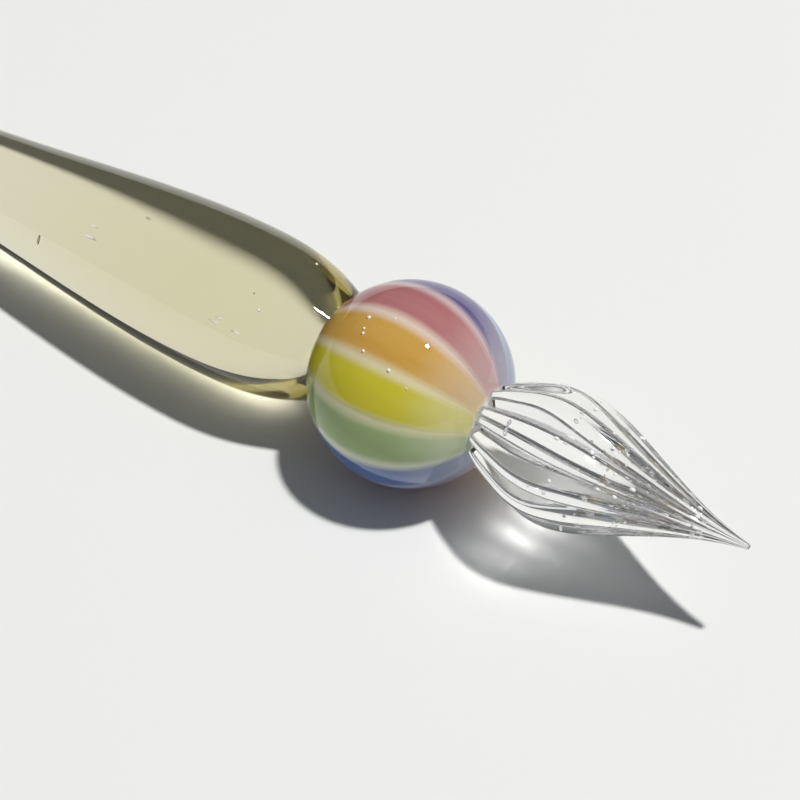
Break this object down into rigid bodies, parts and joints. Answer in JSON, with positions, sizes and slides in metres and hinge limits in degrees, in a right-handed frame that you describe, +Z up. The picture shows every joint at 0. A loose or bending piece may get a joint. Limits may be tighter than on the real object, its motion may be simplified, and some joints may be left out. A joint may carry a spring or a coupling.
{
  "type": "glass dip pen",
  "caption": "Lampworked glass dip pen: smoke-tinted teardrop handle, ball bead with pastel stripes under clear glass, and a clear ribbed nib that holds ink in its grooves.",
  "frame": {"origin": "centre of the ball bead, on the pen's axis", "axes": "+X along the pen's axis towards the nib's tip, +Z up; the stripes and ribs are set round the axis as they lie when the pen rests on a table"},
  "size_m": [0.1591, 0.014, 0.014],
  "materials": {
    "smoke_glass": "fire-polished",
    "opal_glass": "fire-polished",
    "blue_glass": "fire-polished",
    "violet_glass": "fire-polished",
    "rose_glass": "fire-polished",
    "orange_glass": "fire-polished",
    "yellow_glass": "fire-polished",
    "green_glass": "fire-polished",
    "clear_casing": "fire-polished",
    "clear_nib": "fire-polished"
  },
  "bodies": {
    "root": {"handle": "smoke_glass", "bead_core": "opal_glass", "stripe_blue_1": "blue_glass", "stripe_violet_1": "violet_glass", "stripe_rose_1": "rose_glass", "stripe_orange_1": "orange_glass", "stripe_yellow_1": "yellow_glass", "stripe_green_1": "green_glass", "stripe_blue_2": "blue_glass", "stripe_violet_2": "violet_glass", "stripe_rose_2": "rose_glass", "stripe_orange_2": "orange_glass", "stripe_yellow_2": "yellow_glass", "stripe_green_2": "green_glass", "bead_casing": "clear_casing", "nib": "clear_nib"}
  },
  "joints": []
}
